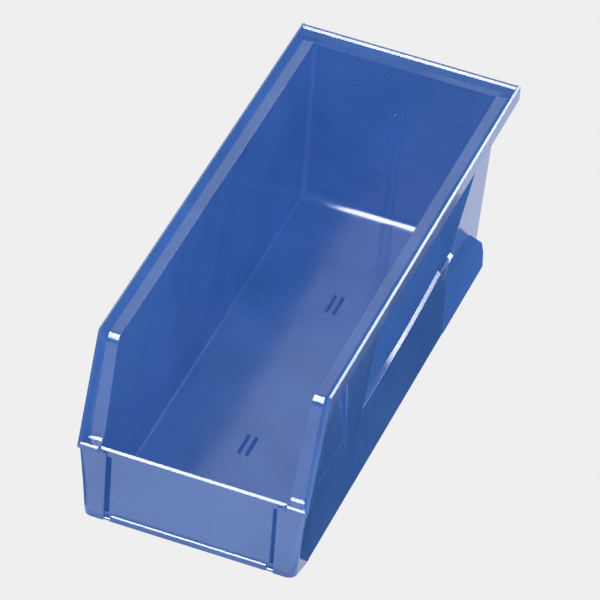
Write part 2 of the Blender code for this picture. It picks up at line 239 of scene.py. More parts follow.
# Material ----------------------------------------------------------------------------------------
BLUE = (0.040, 0.114, 0.355)
# Darker blue: painted shade for the card grooves and the floor ribs.
PAINTED_SHADE_BLUE = (0.030, 0.090, 0.29)
SHADE_DARK = (0.72, 0.78, 0.82)
SHADE_LIGHT = (1.34, 1.24, 1.2)
REFRACTION = 1.49
DRIFT_SCALE, DRIFT_DETAIL = 22.0, 3.0
MOTTLE_SCALE, MOTTLE_DETAIL = 900.0, 2.0
HAZE_SCALE, HAZE_DETAIL = 60.0, 4.0
GRAIN_SCALE, GRAIN_DETAIL = 900.0, 2.0
GRAIN_STRENGTH = 0.5
GRAIN_DEPTH = 0.00006
HAZE_SPREAD = 0.03
NOISE_LOW, NOISE_HIGH = 0.3, 0.7


def noise(tree, place, scale, detail):
    """A noise over the piece's own coordinates."""
    texture = tree.nodes.new("ShaderNodeTexNoise")
    texture.inputs["Scale"].default_value = scale
    texture.inputs["Detail"].default_value = detail
    tree.links.new(place.outputs["Object"], texture.inputs["Vector"])
    return texture.outputs["Fac"]


def halved(tree, value, plus=None):
    """Half of a value, added to another one where it is given."""
    sum_of = tree.nodes.new("ShaderNodeMath")
    sum_of.operation = "MULTIPLY" if plus is None else "MULTIPLY_ADD"
    sum_of.inputs[1].default_value = 0.5
    tree.links.new(value, sum_of.inputs[0])
    if plus is not None:
        tree.links.new(plus, sum_of.inputs[2])
    return sum_of.outputs[0]


def moulded_plastic(name, base, roughness, shine):
    """Polypropylene with mottled colour, faint haze and fine mould grain; shine sets its gloss."""
    material = bpy.data.materials.new(name)
    material.use_nodes = True
    tree = material.node_tree
    nodes = tree.nodes
    links = tree.links
    shader = nodes["Principled BSDF"]
    shader.inputs["Metallic"].default_value = 0.0
    shader.inputs["IOR"].default_value = REFRACTION
    shader.inputs["Specular IOR Level"].default_value = shine
    place = nodes.new("ShaderNodeTexCoord")

    drift = noise(tree, place, DRIFT_SCALE, DRIFT_DETAIL)
    mottle = noise(tree, place, MOTTLE_SCALE, MOTTLE_DETAIL)
    tint = nodes.new("ShaderNodeValToRGB")
    for index, position, shade in ((0, NOISE_LOW, SHADE_DARK), (1, NOISE_HIGH, SHADE_LIGHT)):
        stop = tint.color_ramp.elements[index]
        stop.position = position
        stop.color = (base[0] * shade[0], base[1] * shade[1], base[2] * shade[2], 1)
    links.new(halved(tree, drift, halved(tree, mottle)), tint.inputs["Fac"])
    links.new(tint.outputs["Color"], shader.inputs["Base Color"])

    gloss = nodes.new("ShaderNodeMapRange")
    gloss.inputs["From Min"].default_value = NOISE_LOW
    gloss.inputs["From Max"].default_value = NOISE_HIGH
    gloss.inputs["To Min"].default_value = roughness - HAZE_SPREAD
    gloss.inputs["To Max"].default_value = roughness + HAZE_SPREAD
    links.new(noise(tree, place, HAZE_SCALE, HAZE_DETAIL), gloss.inputs["Value"])
    links.new(gloss.outputs["Result"], shader.inputs["Roughness"])

    bump = nodes.new("ShaderNodeBump")
    bump.inputs["Strength"].default_value = GRAIN_STRENGTH
    bump.inputs["Distance"].default_value = GRAIN_DEPTH
    links.new(noise(tree, place, GRAIN_SCALE, GRAIN_DETAIL), bump.inputs["Height"])
    links.new(bump.outputs["Normal"], shader.inputs["Normal"])
    return material


PLASTIC = moulded_plastic("blue_polypropylene", BLUE, roughness=0.16, shine=0.5)
# Matte plastic in the darker blue; its colour is painted shade for the card grooves and the floor ribs.
MATTE_PAINTED_SHADE_PLASTIC = moulded_plastic("matte_painted_shade_polypropylene", PAINTED_SHADE_BLUE, roughness=0.5, shine=0.0)
SATIN = moulded_plastic("satin_side_polypropylene", BLUE, roughness=0.5, shine=0.0)


# The tub -------------------------------------------------------------------------------------------
SIDE_FILLET = 1.3 * MM
FRONT_FILLET = 2.0 * MM
COVE = back_y(FLOOR_TOP) - COVE_START
CORNER = 3.0 * MM
STRIP = 1.5 * MM
TUB_TOP = LEDGE_TOP - 0.9 * MM
FRONT_WALL_TOP = CAP_UNDER + 1.0 * MM
FRONT_SHEET = 0.6 * MM
WALL_BANDS = (20 * MM, 36 * MM, FRONT_WALL_TOP, 70 * MM, 92 * MM, TUB_TOP)
FLAT = 1.0 * MM
ARC = 6
COVE_STEPS = 8
CLOSE = 1e-6
TUB_PIECES = {
    "floor": ("tub_floor", ["floor_panel"]),
    "cove": ("tub_cove", ["floor_cove"]),
    "back": ("tub_back", ["back_wall"]),
    "left": ("tub_side_left", ["side_wall_left"]),
    "right": ("tub_side_right", ["side_wall_right"]),
    "front": ("tub_front", ["label_panel"])}


def tub_ring(side_in, side_z, rear_in, rear_z, front_in, front_z):
    """One ring of the tub's inner surface, and the part that each of its segments belongs to."""
    half = tub_x(side_z) - side_in
    rear = back_y(rear_z) - rear_in
    front = front_y(front_z) + FRONT_DEPTH + front_in
    least = 0.4 * MM
    across = max(CORNER - side_in, least)
    back_along = max(CORNER - rear_in, least)
    front_along = max(CORNER - front_in, least)
    points = []
    tags = []

    def corner(sx, sy, start):
        along = back_along if sy > 0 else front_along
        centre = (sx * (half - across), rear - along if sy > 0 else front + along)
        end_z = rear_z if sy > 0 else front_z
        for step in range(ARC + 1):
            angle = math.radians(start + 90.0 * step / ARC)
            x = centre[0] + across * math.cos(angle)
            y = centre[1] + along * math.sin(angle)
            lean = math.sin(angle) ** 2
            points.append((x, y, side_z + (end_z - side_z) * lean))

    points.append((0.0, front, front_z))
    tags.append("front")
    corner(1, -1, -90)
    tags += ["front"] * (ARC + 1)
    points.append((half, front + CORNER + STRIP, side_z))
    tags.append("right")
    points.append((half, rear - COVE - STRIP, side_z))
    tags.append("back")
    corner(1, 1, 0)
    tags += ["back"] * (ARC + 1)
    points.append((0.0, rear, rear_z))
    tags.append("back")
    corner(-1, 1, 90)
    tags += ["back"] * (ARC + 1)
    points.append((-half, rear - COVE - STRIP, side_z))
    tags.append("left")
    points.append((-half, front + CORNER + STRIP, side_z))
    tags.append("front")
    corner(-1, -1, 180)
    tags += ["front"] * (ARC + 1)
    return points, tags


def tub_rings():
    """The rings from the floor up, the tags of their segments, and how many bands the fillets take."""
    flat_floor = (SIDE_FILLET + FLAT, FLOOR_TOP, COVE + FLAT, FLOOR_TOP, FRONT_FILLET + FLAT, FLOOR_TOP)
    first, tags = tub_ring(*flat_floor)
    rings = [first]
    for step in range(COVE_STEPS + 1):
        angle = math.radians(90.0 * step / COVE_STEPS)
        inset = 1 - math.sin(angle)
        rise = 1 - math.cos(angle)
        rings.append(tub_ring(SIDE_FILLET * inset, FLOOR_TOP + SIDE_FILLET * rise,
                              COVE * inset, FLOOR_TOP + COVE * rise,
                              FRONT_FILLET * inset, FLOOR_TOP + FRONT_FILLET * rise)[0])
    rings.append(tub_ring(0, FLOOR_TOP + SIDE_FILLET + FLAT,
                          0, FLOOR_TOP + COVE + FLAT,
                          0, FLOOR_TOP + FRONT_FILLET + FLAT)[0])
    low_bands = len(rings) - 1
    for z in WALL_BANDS:
        rings.append(tub_ring(0, z, 0, z, 0, z)[0])
    return rings, tags, low_bands


def tub_faces():
    """The corners of every face of the tub's inner surface, under the part each belongs to."""
    rings, tags, low_bands = tub_rings()
    sheets = {"floor": [rings[0]]}
    count = len(tags)
    for band in range(len(rings) - 1):
        for here in range(count):
            there = (here + 1) % count
            face = (rings[band][here], rings[band + 1][here], rings[band + 1][there], rings[band][there])
            tag = tags[here]
            if band < low_bands:
                part = "cove" if tag == "back" else "floor"
            else:
                part = tag
            if part == "front" and rings[band + 1][0][2] > FRONT_WALL_TOP + CLOSE:
                continue
            sheets.setdefault(part, []).append(face)
    return sheets


def cut_to_hopper(bm):
    """Cuts a side sheet along the slope of the hopper ledge."""
    middle = WALL / 2
    foot = Vector((0, ledge_y(FRONT_TOP) + middle, FRONT_TOP))
    top = Vector((0, ledge_y(LEDGE_TOP) + middle, LEDGE_TOP))
    across = (top - foot).cross(Vector((1, 0, 0)))
    across = across if across.y < 0 else -across
    everything = bm.verts[:] + bm.edges[:] + bm.faces[:]
    bmesh.ops.bisect_plane(bm, geom=everything, plane_co=foot, plane_no=across, clear_outer=True, dist=CLOSE)


def build_tub():
    for part, faces in tub_faces().items():
        bm = bmesh.new()
        known = {}
        for corners in faces:
            verts = []
            for point in corners:
                key = tuple(round(value, 7) for value in point)
                if key not in known:
                    known[key] = bm.verts.new(point)
                verts.append(known[key])
            if len(set(verts)) > 2:
                bm.faces.new(verts)
        if part in ("left", "right"):
            cut_to_hopper(bm)
        name, nodes = TUB_PIECES[part]
        piece(name, bm, nodes, thickness=FRONT_SHEET if part == "front" else WALL, rim=False)


# The rims ------------------------------------------------------------------------------------------
BEND = 1.8 * MM
LEDGE_BEND = 6.5 * MM
SKIRT_DEPTH = RIM_TOP - RIM_FOOT
LEDGE_DEPTH = RIM_TOP - LEDGE_TOP
UNDER_DEPTH = RIM_TOP - LEDGE_UNDER
RIM_CHAMFER = (1.4 * MM, 1.1 * MM)
BEND_STEPS = 8
LEVEL_STATIONS = 3


def slope_y(depth, z):
    """The y of the hopper rim's surface that lies at this depth on the level run."""
    ledge = ledge_y(z) - hopper_y(z)
    skirt = SKIRT_DEPTH * math.hypot(1, hopper_y(1) - hopper_y(0))
    if depth <= LEDGE_DEPTH:
        behind = ledge * depth / LEDGE_DEPTH
    elif depth <= UNDER_DEPTH:
        behind = ledge + (depth - LEDGE_DEPTH)
    else:
        under = ledge + WALL
        behind = under + (skirt - under) * (depth - UNDER_DEPTH) / (SKIRT_DEPTH - UNDER_DEPTH)
    return hopper_y(z) + behind


def rim_line(depth, foot_z):
    """The (y, z) path of a profile point from the rear, round the bend and down the slope."""
    level = RIM_TOP - depth
    corner = Vector((slope_y(depth, level), level))
    foot = Vector((slope_y(depth, foot_z), foot_z))
    down = (foot - corner).normalized()
    back = Vector((1, 0))
    half = back.angle(down) / 2
    on_ledge = LEDGE_DEPTH - 0.1 * MM <= depth <= UNDER_DEPTH - 0.8 * MM
    bend = LEDGE_BEND if on_ledge else BEND
    reach = bend / math.tan(half)
    centre = corner + (back + down).normalized() * (bend / math.sin(half))
    start = corner + back * reach - centre
    end = corner + down * reach - centre
    turn = math.atan2(start.x * end.y - start.y * end.x, start.dot(end))
    points = [Vector((REAR, level)), Vector((REAR - 12 * MM, level)), corner + back * 14 * MM]
    points.append(corner + back * 9 * MM)
    for step in range(BEND_STEPS + 1):
        points.append(centre + Matrix.Rotation(turn * step / BEND_STEPS, 2) @ start)
    points.append(corner + down * 8 * MM)
    points.append(corner.lerp(foot, 0.6))
    points.append(foot)
    return points


def rim_profile():
    """The rim's section as (x, depth) points: ledge, upstand, top and outer skirt."""
    inner = 6.1 * MM
    return rounded([
        (LEDGE_IN + 0.5 * MM, UNDER_DEPTH - 0.6 * MM, 0),
        (LEDGE_IN, inner, 0),
        (LEDGE_IN, LEDGE_DEPTH, 0.3 * MM),
        (UPSTAND_FOOT, LEDGE_DEPTH, 0),
        (UPSTAND_CREST, 0.0, 0.1 * MM),
        (RIM_HALF - RIM_CHAMFER[0], 0.0, 0.2 * MM),
        (RIM_HALF, RIM_CHAMFER[1], 0.5 * MM),
        (RIM_HALF, SKIRT_DEPTH, 0.5 * MM),
        (RIM_HALF - 2.2 * MM, SKIRT_DEPTH, 0.5 * MM),
        (RIM_HALF - 2.5 * MM, UNDER_DEPTH, 0.8 * MM),
        (LEDGE_IN + 1.6 * MM, UNDER_DEPTH, 0)])


def rim_piece(name, bm, nodes):
    """A rim piece, whose upstand has its inner faces in the satin finish."""
    bm.normal_update()
    for face in bm.faces:
        across = abs(face.calc_center_median().x)
        facing = abs(face.normal.x) > 0.3 and face.normal.z > 0.2
        if UPSTAND_FOOT < across < UPSTAND_CREST and facing:
            face.material_index = 1
    rim = piece(name, bm, nodes)
    rim.data.materials.append(SATIN)


def build_rims():
    profile = rim_profile()
    foot_z = FRONT_TOP - 1.0 * MM
    lines = [rim_line(point.y, foot_z) for point in profile]
    stations = len(lines[0])
    rings = []
    for station in range(stations):
        ring = []
        for point, path in zip(profile, lines):
            y, z = path[station]
            x = point.x
            if x < LEDGE_IN + 3 * MM:
                x += tub_x(min(z, LEDGE_TOP)) - LEDGE_IN
            ring.append((x, y, z))
        rings.append(ring)
    level = rings[:LEVEL_STATIONS + 1]
    slope = rings[LEVEL_STATIONS:]
    for side, label in SIDES:
        rim_piece("rim_" + label, mirrored(loft(level, last=False), side),
                  ["stacking_ledge_" + label, "rim_upstand_" + label])
        rim_piece("hopper_rim_" + label, mirrored(loft(slope, first=False), side),
                  ["hopper_ledge_" + label, "hopper_upstand_" + label])


def build_hanger():
    hook = low("hanger_hook")
    under = low("hanger_lip").z
    start = LEDGE_UNDER + 0.5 * MM
    profile = rounded([
        (back_y(start) + 0.5 * MM, start, 0),
        (back_y(TUB_TOP - 0.2 * MM), TUB_TOP - 0.2 * MM, 0),
        (BACK_TOP + 0.8 * MM, RIM_TOP - 2.5 * MM, 0),
        (BACK_TOP + 5.6 * MM, RIM_TOP - 1.2 * MM, 0.3 * MM),
        (BACK_TOP + 6.8 * MM, RIM_TOP, 0.3 * MM),
        (REAR, RIM_TOP, 1.2 * MM),
        (REAR, hook.z, 0.8 * MM),
        (hook.y, hook.z, 0.8 * MM),
        (hook.y, under, 1.0 * MM),
        (high("back_wall").y, under, 1.0 * MM),
        (high("back_wall").y - 0.3 * MM, start, 0)])
    piece("hanger_rail", drawn_out(profile, (-UPSTAND_CREST, UPSTAND_CREST)), ["hanger_lip", "hanger_hook"])


# The front -----------------------------------------------------------------------------------------
LIP_TOP = high("front_lip").z
LIP_STEPS = 7
GROOVE_INSET = 3.0 * MM
GROOVE_FLOOR = 0.8 * MM


def build_lip():
    foot = CAP_UNDER - 2 * MM
    lip = rounded([
        (front_y(foot) + LABEL_DEPTH, foot, 0),
        (front_y(CAP_UNDER) + FRONT_DEPTH, foot, 0),
        (FRONT_FACE + FRONT_DEPTH, LIP_TOP + 0.2 * MM, 0.5 * MM),
        (FRONT_FACE + LABEL_DEPTH, LIP_TOP - 0.8 * MM, 0.5 * MM)], LIP_STEPS)
    half = LIP_END + 1 * MM
    piece("front_lip_roll", drawn_out(lip, (-half, half)), ["front_lip"])


def build_label_face():
    """The face that a label sticks to, with its two side edges turned in to the grooves."""
    half = PANEL_HALF + 0.3 * MM
    stations = ((-half - 0.1 * MM, WALL), (-half + 0.1 * MM, 0.4 * MM), (-half + 0.5 * MM, 0.0),
                (half - 0.5 * MM, 0.0), (half - 0.1 * MM, 0.4 * MM), (half + 0.1 * MM, WALL))
    heights = (1 * MM, 20 * MM, 36 * MM, CAP_UNDER - 1.5 * MM)
    face = [[(x, front_y(z) + LABEL_DEPTH + inset, z) for z in heights] for x, inset in stations]
    piece("label_face", grid(face[::-1]), [])


def build_card_rest():
    """The small ledge under the label, lower at its two ends."""
    end = PANEL_HALF - 1.8 * MM
    low_end = 1.8 * MM
    depth = 3.5 * MM
    rest = []
    for x, top, inset in ((POST_IN + 0.4 * MM, low_end, 0.4 * MM), (end + 0.8 * MM, low_end, 0.4 * MM),
                          (end, CARD_TOP, 0.0)):
        section = rounded([
            (front_y(0) + inset, 0.0, 0.5 * MM),
            (front_y(0) + depth, 0.0, 0),
            (front_y(top) + depth, top, 0),
            (front_y(top) + inset + 0.9 * MM, top, 0.3 * MM),
            (front_y(top) + inset, top - 0.6 * MM, 0.3 * MM)])
        rest.append([(x, y, z) for y, z in section])
    rest = [[(-x, y, z) for x, y, z in ring] for ring in rest] + rest[::-1]
    piece("card_rest", loft(rest), ["card_ledge"])


def build_groove(side, label):
    inner = PANEL_HALF - 0.6 * MM
    outer = POST_IN + 0.5 * MM
    groove = []
    for z in (0.0, CAP_UNDER + 0.5 * MM):
        near = front_y(z) + GROOVE_INSET
        far = near + GROOVE_FLOOR
        groove.append([(x, y, z) for x, y in ((inner, near), (outer, near), (outer, far), (inner, far))])
    # The groove floor is in the darker blue: painted shade in the recess.
    piece("card_groove_floor_" + label, mirrored(loft(groove), side), ["card_groove_" + label], material=MATTE_PAINTED_SHADE_PLASTIC)


def build_front():
    build_lip()
    build_label_face()
    build_card_rest()
    for side, label in SIDES:
        build_groove(side, label)
        build_post(side, label)
        build_cap(side, label)


# The corner at the front: how far it runs along the side, its flare and the radius of its edge.
BLEND_Y = 17 * MM
SKIRT_OVERLAP = 3 * MM
POST_SKIN = 1.2 * MM
POST_FOOT_HALF = 64.6 * MM
POST_FLARE = 5.4 * MM
EDGE_RADIUS = 5.6 * MM
EDGE_TAPER = 2.8 * MM
SLANT_TOP = Vector((57.6, 53.6)) * MM
SLANT_FOOT = Vector((51.6, 50.6)) * MM
skirt_x = line(0.0, high("lower_skirt_right").x - 0.58 * MM, SHELF_TOP, SKIRT_X)


def post_edge(z):
    """The outer x of the corner at the front, flaring into the rim."""
    return min(RIM_HALF, POST_FOOT_HALF + POST_FLARE * z / CAP_UNDER)


def build_post(side, label):
    """The corner: flush front face, rounded edge, and the first stretch of the side skirt."""
    rows = []
    top = CAP_UNDER + 0.8 * MM
    for z in (0.0, 10 * MM, 20 * MM, 30 * MM, 38 * MM, 44 * MM, 48 * MM, top):
        edge = post_edge(z)
        end = skirt_x(z)
        front = front_y(z)
        radius = EDGE_RADIUS - EDGE_TAPER * z / FRONT_TOP
        corner = Vector((edge, front))
        inward = Vector((-1, 0))
        along = Vector((end - edge, FOOT_Y + BLEND_Y - front)).normalized()
        half = inward.angle(along) / 2
        reach = radius / math.tan(half)
        centre = corner + (inward + along).normalized() * (radius / math.sin(half))
        start = corner + inward * reach - centre
        stop = corner + along * reach - centre
        turn = math.atan2(start.x * stop.y - start.y * stop.x, start.dot(stop))
        inner_edge = ((0.0, LABEL_DEPTH + 0.6 * MM), (0.0, 0.5 * MM), (0.15 * MM, 0.15 * MM),
                      (0.5 * MM, 0.0), (3 * MM, 0.0))
        row = [(POST_IN + across, front + inset, z) for across, inset in inner_edge]
        for step in range(BEND_STEPS + 1):
            x, y = centre + Matrix.Rotation(turn * step / BEND_STEPS, 2) @ start
            row.append((x, y, z))
        row.append((end, FOOT_Y + BLEND_Y, z))
        row.append((end, FOOT_Y + BLEND_Y + SKIRT_OVERLAP, z))
        rows.append(row)
    bm = grid(rows)
    piece("corner_post_skin_" + label, mirrored(bm, side), ["corner_post_" + label], thickness=POST_SKIN)


def build_cap(side, label):
    """The pad where the hopper rim lands on the corner, and the slope from it to the groove."""
    under = CAP_UNDER - 0.5 * MM
    flare = post_edge(under)
    stations = [(FRONT_FACE, 1.0), (FRONT_FACE + 0.9 * MM, 0.35), (FRONT_FACE + 1.5 * MM, 0.0),
                (CAP_REAR - 0.6 * MM, 0.0), (CAP_REAR + 1.5 * MM, 0.0)]
    profile = rounded([
        (LIP_END, under, 0),
        (LIP_END, FRONT_TOP, 0.7 * MM),
        (RIM_HALF, FRONT_TOP, 1.1 * MM),
        (flare, under, 0)])
    rings = []
    for y, drop in stations:
        ring = []
        for point in profile:
            lowered = point.y - drop * MM if point.y > under + MM else point.y
            ring.append((min(point.x, RIM_HALF - 0.3 * drop * MM), y, lowered))
        rings.append(ring)
    piece("corner_pad_" + label, mirrored(loft(rings), side), ["corner_cap_" + label])

    near = ledge_y(FRONT_TOP)
    low_z = FRONT_TOP - 0.1 * MM
    high_z = FRONT_TOP + 1.2 * MM
    slope = [
        (near - 1.6 * MM, low_z),
        (near + 0.5 * MM, high_z),
        (near + 2 * MM, high_z),
        (near + 2 * MM, low_z)]
    bm = drawn_out(slope, (LIP_END + 0.5 * MM, UPSTAND_FOOT + 1.5 * MM))
    piece("corner_fillet_" + label, mirrored(bm, side), ["hopper_ledge_" + label], bevel=0.25 * MM)

    wedge = [(POST_IN, under), (POST_IN, SLANT_FOOT.y), (SLANT_TOP.x, SLANT_TOP.y), (SLANT_TOP.x, under)]
    rings = [[(x, y, z) for x, z in wedge] for y in (FRONT_FACE, FRONT_FACE + FRONT_DEPTH - 0.3 * MM)]
    piece("corner_slope_" + label, mirrored(loft(rings), side), ["corner_cap_" + label], bevel=0.6 * MM)


# The sides -----------------------------------------------------------------------------------------
SHELF_SWEEP = 160 * MM
SWEEP_RUN = 70 * MM
SWEEP_RISE = 5.0 * MM
STRIP_END = 229 * MM
# Lengths along the skirt, in millimetres from the foot of the front face.
SKIRT_STATIONS = (60, 95, 110, 130, 150, 165, 180, 195, 210, 220, 226)
SKIRT_WALL = 2 * MM
SKIRT_ROUND = 0.5 * MM
STRIP_TURN, STRIP_TURN_RUN = 105 * MM, 60 * MM
BRACE_BACK = 145.36 * MM
BRACE_PROUD, BRACE_LEAN = 0.55 * MM, 0.0118
BRACE_FOOT_FRONT, BRACE_FOOT_REAR = 38 * MM, 16 * MM
CHEEK_LEAN = 2.2 * MM
PANEL_RUN = 156.4 * MM
PANEL_X, PANEL_LEAN = 62.4 * MM, 0.018
UPPER_TOP = UPPER_END + 1.5 * MM
FOOT_PROUD = 0.35 * MM
ROOF_RISE = 4.0 * MM
brace_rear = line(SHELF_UNDER, high("skirt_ledge_right").y - BRACE_BACK,
                  UPPER_END, high("front_brace_right").y)
cheek_rear = line(SHELF_UNDER, high("front_cheek_right").y, UPPER_END, low("front_brace_right").y)
panel_rear = line(SHELF_TOP, low("side_panel_right").y + PANEL_RUN, UPPER_END, high("side_panel_right").y)


def wall_x(z):
    """An x just inside the tub wall's outer face, where the side's plates start."""
    return tub_x(z) + WALL - 0.4 * MM


def sweep_z(y):
    """Height of the skirt's upper edge, which sweeps up towards its rear end."""
    along = max(0.0, (y - (SHELF_SWEEP + FOOT_Y)) / SWEEP_RUN)
    return SHELF_TOP + SWEEP_RISE * along ** 1.6


def chamfer(y):
    """Width and drop of the sloping strip along the top of the skirt."""
    turn = min(1.0, max(0.0, (y - FOOT_Y - STRIP_TURN) / STRIP_TURN_RUN))
    return (3.0 - 0.8 * turn) * MM, (0.9 + 0.8 * turn) * MM


def build_skirt(side, label):
    """The lower skirt with the sloping strip along its upper edge, which ends before the rear foot."""
    edge = skirt_x(SHELF_TOP)
    end = FOOT_Y + STRIP_END
    stations = [FOOT_Y + BLEND_Y + SKIRT_OVERLAP] + [FOOT_Y + value * MM for value in SKIRT_STATIONS]
    rings = []
    for y in stations + [end, end + 0.6 * MM, SKIRT_REAR + 0.5 * MM]:
        top = sweep_z(min(y, end))
        across, drop = chamfer(y)
        crest = 0.4 * MM
        if y > end:
            across, drop, crest = 0.3 * MM, 0.1 * MM, 0.08 * MM
        reach = max(edge - across, wall_x(top) + 0.2 * MM)
        section = rounded([
            (skirt_x(0), 0.0, SKIRT_ROUND),
            (edge, top - drop, SKIRT_ROUND),
            (reach, top, crest),
            (wall_x(top), top, 0),
            (wall_x(SHELF_UNDER), SHELF_UNDER, 0),
            (skirt_x(SHELF_UNDER) - SKIRT_WALL, SHELF_UNDER, SKIRT_ROUND),
            (skirt_x(0) - SKIRT_WALL, 0.0, SKIRT_ROUND)])
        rings.append([(x, y, z) for x, z in section])
    nodes = ["lower_skirt_" + label, "skirt_ledge_" + label]
    piece("side_skirt_" + label, mirrored(loft(rings), side), nodes)


def brace_x(y, z):
    """The brace's outer face, which rises out of the skirt and leans out above it."""
    proud = BRACE_PROUD * min(1.0, max(0.0, (z - BRACE_FOOT_REAR) / (30 * MM)))
    return skirt_x(min(z, SHELF_TOP)) + proud + (z - SHELF_TOP) * BRACE_LEAN * (z > SHELF_TOP)


def cheek_x(y, z):
    """The cheek's outer face, from the skirt to under the rim."""
    return SKIRT_X - 0.1 * MM - CHEEK_LEAN * (z - SHELF_TOP) / (RIM_FOOT - SHELF_TOP)


def side_plate(name, outline, outer, side, label, node, bevel, material=None):
    """A plate on the tub wall over a (y, z) outline, out to the outer x."""
    bm = plate(outline, lambda y, z: wall_x(z), outer)
    piece(name + label, mirrored(bm, side), [node + label], bevel=bevel, material=material)


def build_sides():
    top = UPPER_TOP
    bottom = SHELF_TOP - 1.0 * MM
    brace = [
        (cheek_rear(BRACE_FOOT_FRONT), BRACE_FOOT_FRONT),
        (brace_rear(BRACE_FOOT_REAR) + 2 * MM, BRACE_FOOT_REAR),
        (brace_rear(SHELF_TOP), SHELF_TOP),
        (brace_rear(top), top),
        (cheek_rear(top), top)]
    cheek = [
        (CAP_REAR, SHELF_UNDER),
        (cheek_rear(SHELF_UNDER), SHELF_UNDER),
        (cheek_rear(top), top),
        (slope_y(UNDER_DEPTH, top), top),
        (CAP_REAR, FRONT_TOP)]
    panel = [
        (brace_rear(bottom) - 1 * MM, bottom),
        (panel_rear(bottom), bottom),
        (panel_rear(top), top),
        (brace_rear(top) - 1 * MM, top)]
    for side, label in SIDES:
        build_skirt(side, label)
        side_plate("front_web_", brace, brace_x, side, label, "front_brace_", 0.9 * MM)
        side_plate("front_flare_", cheek, cheek_x, side, label, "front_cheek_", 0.4 * MM)
        side_plate("upper_panel_", panel, lambda y, z: PANEL_X + (z - SHELF_TOP) * PANEL_LEAN,
                   side, label, "side_panel_", 0.4 * MM, SATIN)
        build_foot(side, label)


def build_foot(side, label):
    """The rear foot's plate, with its crown rounded down to the rear, and the roof from it to the wall."""
    rear = high("rear_foot_right").y
    crown_top = high("rear_foot_right").z
    start = SKIRT_REAR - 0.5 * MM
    outline = rounded([
        (start, crown_top, 0),
        (rear - 59 * MM, crown_top, 6 * MM),
        (rear - 30 * MM, crown_top - 5.5 * MM, 10 * MM),
        (rear - 5 * MM, crown_top - 29.5 * MM, 8 * MM),
        (rear - 1 * MM, 12 * MM, 4 * MM),
        (rear, 0.0, 0),
        (start, 0.0, 0)], 6)
    bm = plate([(p.x, p.y) for p in outline],
               lambda y, z: skirt_x(z) - SKIRT_WALL, lambda y, z: skirt_x(z) + FOOT_PROUD)
    piece("rear_foot_plate_" + label, mirrored(bm, side), ["rear_foot_" + label],
          bevel=0.6 * MM, material=SATIN)

    rows = []
    for p in outline:
        if p.y > 0.5 * MM:
            y = p.x - 0.2 * MM
            rows.append([(wall_x(p.y), y, p.y + ROOF_RISE), (skirt_x(p.y) - 0.3 * MM, y, p.y - 0.1 * MM)])
    bm = facing_up(grid(rows))
    piece("rear_foot_roof_" + label, mirrored(bm, side), ["foot_crown_" + label], thickness=SKIRT_WALL)


# The divider ribs ----------------------------------------------------------------------------------
RIB_HEIGHT = 1.3 * MM


def build_ribs():
    for number in (1, 2):
        node = "back_rib_%d" % number
        left, right = low(node), high(node)
        x0, x1 = left.x, right.x
        rings = []
        for z in (left.z, (left.z + right.z) / 2, right.z):
            face = back_y(z)
            section = rounded([
                (x0, face + 1 * MM, 0),
                (x0, face - RIB_HEIGHT, 0.4 * MM),
                (x1, face - RIB_HEIGHT, 0.4 * MM),
                (x1, face + 1 * MM, 0)])
            rings.append([(x, y, z) for x, y in section])
        piece("divider_rib_back_%d" % number, loft(rings), [node], bevel=0.4 * MM)
    for number in (1, 2, 3, 4):
        node = "floor_rib_%d" % number
        left, right = low(node), high(node)
        base = FLOOR_TOP - 0.5 * MM
        outline = rounded([
            (left.y, base, 0),
            (right.y, base, 0),
            (right.y - 1 * MM, right.z, 1.2 * MM),
            (left.y + 1 * MM, right.z, 1.2 * MM)])
        bm = plate([(p.x, p.y) for p in outline],
                   lambda y, z: left.x - 0.2 * MM, lambda y, z: right.x + 0.2 * MM)
        # The floor ribs are in the darker blue: painted shade that shows them as dark bars.
        piece("divider_rib_floor_%d" % number, bm, [node], bevel=0.35 * MM, material=MATTE_PAINTED_SHADE_PLASTIC)


# Stage, light and camera ----------------------------------------------------------------------------
PALE = 0.863
AMBIENT = 0.5
DIM = 0.25
FILL = 0.5
FLOOR_GLOW = 1.05
WHITE_GLOW = 1.9
STUDIO_HALF = 8.0
FLOOR_HEIGHT = -0.6 * MM
CARD_HEIGHT = -0.3 * MM
# Outlines of the cards on the floor, in millimetres; the black right card is a painted shadow of the bin on
# the floor.
RIGHT_SHADOW_CARD = ((66, -150), (66, 104), (90, 146), (100, 185), (106, 205), (120, 205), (120, -150))
LEFT_CARD = ((-68, -166), (-68, 180), (-500, 180), (-500, -190), (-90, -190))
FRONT_CARD = ((-3500, -7000), (2000, -7000), (130, -260), (130, -172), (-66, -172), (-88, -200))
# Each softbox: name, direction, direction of its first size, sizes in metres, radiance.
SOFTBOXES = (
    ("key_strip", (-0.236, -0.36, 0.9), (0, 1, 0), (2.3, 0.4), 26.0),
    ("rim_strip", (0.56, 0.735, 0.43), (0.4, 0, -0.5), (0.42, 0.5), 16.0),
    ("overhead", (-0.236, 0.735, 0.66), (0, 1, 0), (1.2, 1.6), 1.15))
SOFTBOX_AIM = (0, 0, 0.06)
SOFTBOX_DISTANCE = 2.0
FILL_ANGLE = math.radians(20)
FILLS = (("top", (0, 0, 1)), ("front", (0, -1, 0)), ("back", (0, 1, 0)),
         ("left", (-1, 0, 0)), ("right", (1, 0, 0)))
AZIMUTH = math.radians(17.775)
ELEVATION = math.radians(39.452)
ROLL = math.radians(5.322)
CAMERA_DISTANCE = 3.4063
LENS = 350.6
SENSOR = 36.0
AIM_SHIFT = Vector((0.09, -1.98, -2.32)) * MM


